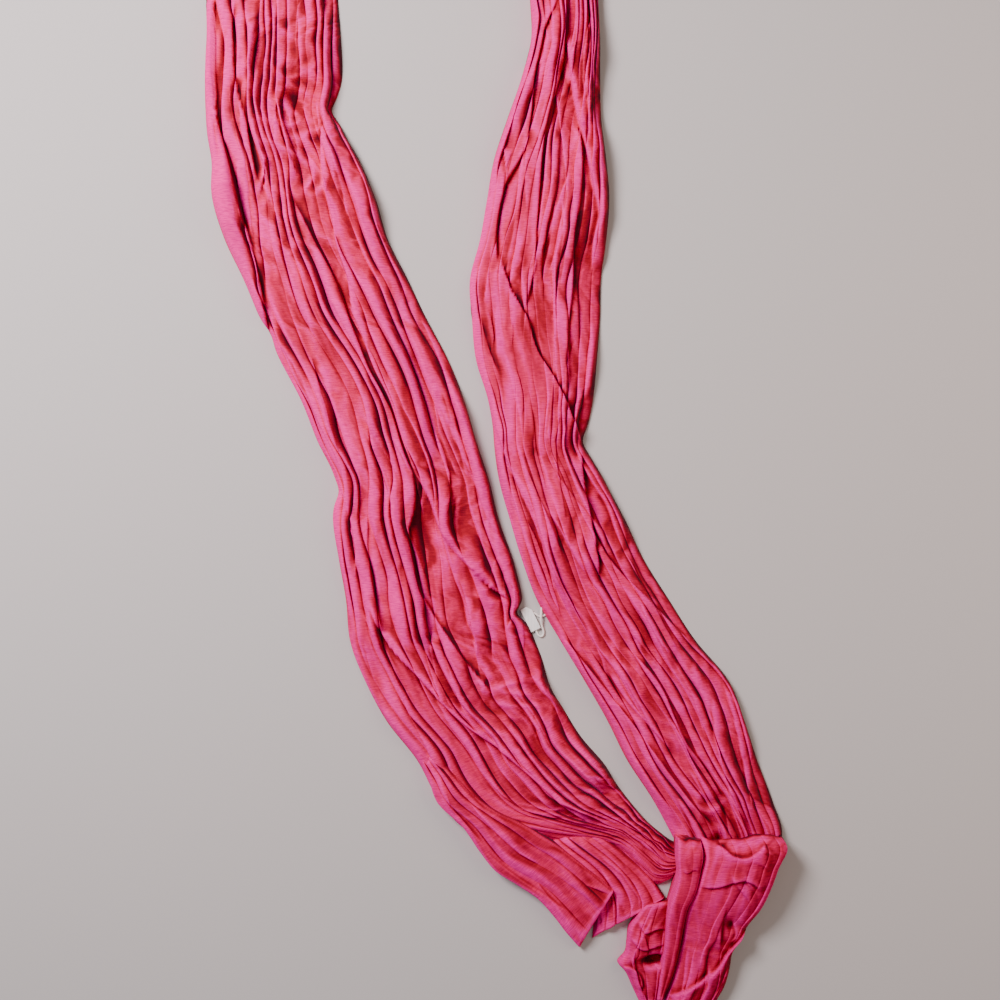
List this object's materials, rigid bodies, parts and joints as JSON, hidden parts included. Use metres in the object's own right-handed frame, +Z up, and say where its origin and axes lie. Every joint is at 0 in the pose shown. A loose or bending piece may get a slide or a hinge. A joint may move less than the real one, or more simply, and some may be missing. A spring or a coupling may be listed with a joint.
{
  "type": "baby wrap sling",
  "caption": "Stretch jersey baby wrap tied into a closed loop: gathered runs meet in a knot with a free end flap, a tail and a small care label.",
  "frame": {"origin": "middle of the footprint, on the surface that the wrap lies on", "axes": "+Y from the knot and tail to the closed turn of the loop, +X towards the knot's side, +Z up from the surface"},
  "size_m": [0.577, 1.2898, 0.044],
  "materials": {
    "jersey": "raspberry pink slub jersey, matt with a soft nap",
    "label_tape": "white satin-woven tape, blank",
    "thread": "white polyester sewing thread",
    "string": "white cotton cord, matt"
  },
  "bodies": {
    "wrap": {"left_run_upper": "jersey", "left_run_lower": "jersey", "left_run_neck": "jersey", "top_turn": "jersey", "right_run_upper": "jersey", "right_run_lower": "jersey", "knot_band": "jersey", "band_edge_fold": "jersey", "flap_underlayer": "jersey", "label_stitches": "thread"},
    "label": {"care_label": "label_tape", "label_string": "string"},
    "flap": {"end_flap": "jersey"},
    "tail": {"tail_upper_layer": "jersey", "tail_lower_layer": "jersey", "tail_side_fold": "jersey"}
  },
  "joints": [
    {"name": "label_flip", "type": "hinge", "parent": "wrap", "child": "label", "pos_m": [0.034, -0.2029, 0.00285], "axis": [0.4384, -0.8988, 0], "range_deg": [0, 80]},
    {"name": "flap_lift", "type": "hinge", "parent": "wrap", "child": "flap", "pos_m": [-0.0135, -0.4085, 0.006], "axis": [-0.6293, -0.7771, 0], "range_deg": [0, 70]},
    {"name": "tail_lift", "type": "hinge", "parent": "wrap", "child": "tail", "pos_m": [0.212, -0.499, 0.00925], "axis": [-1, 0, 0], "range_deg": [0, 75]}
  ]
}
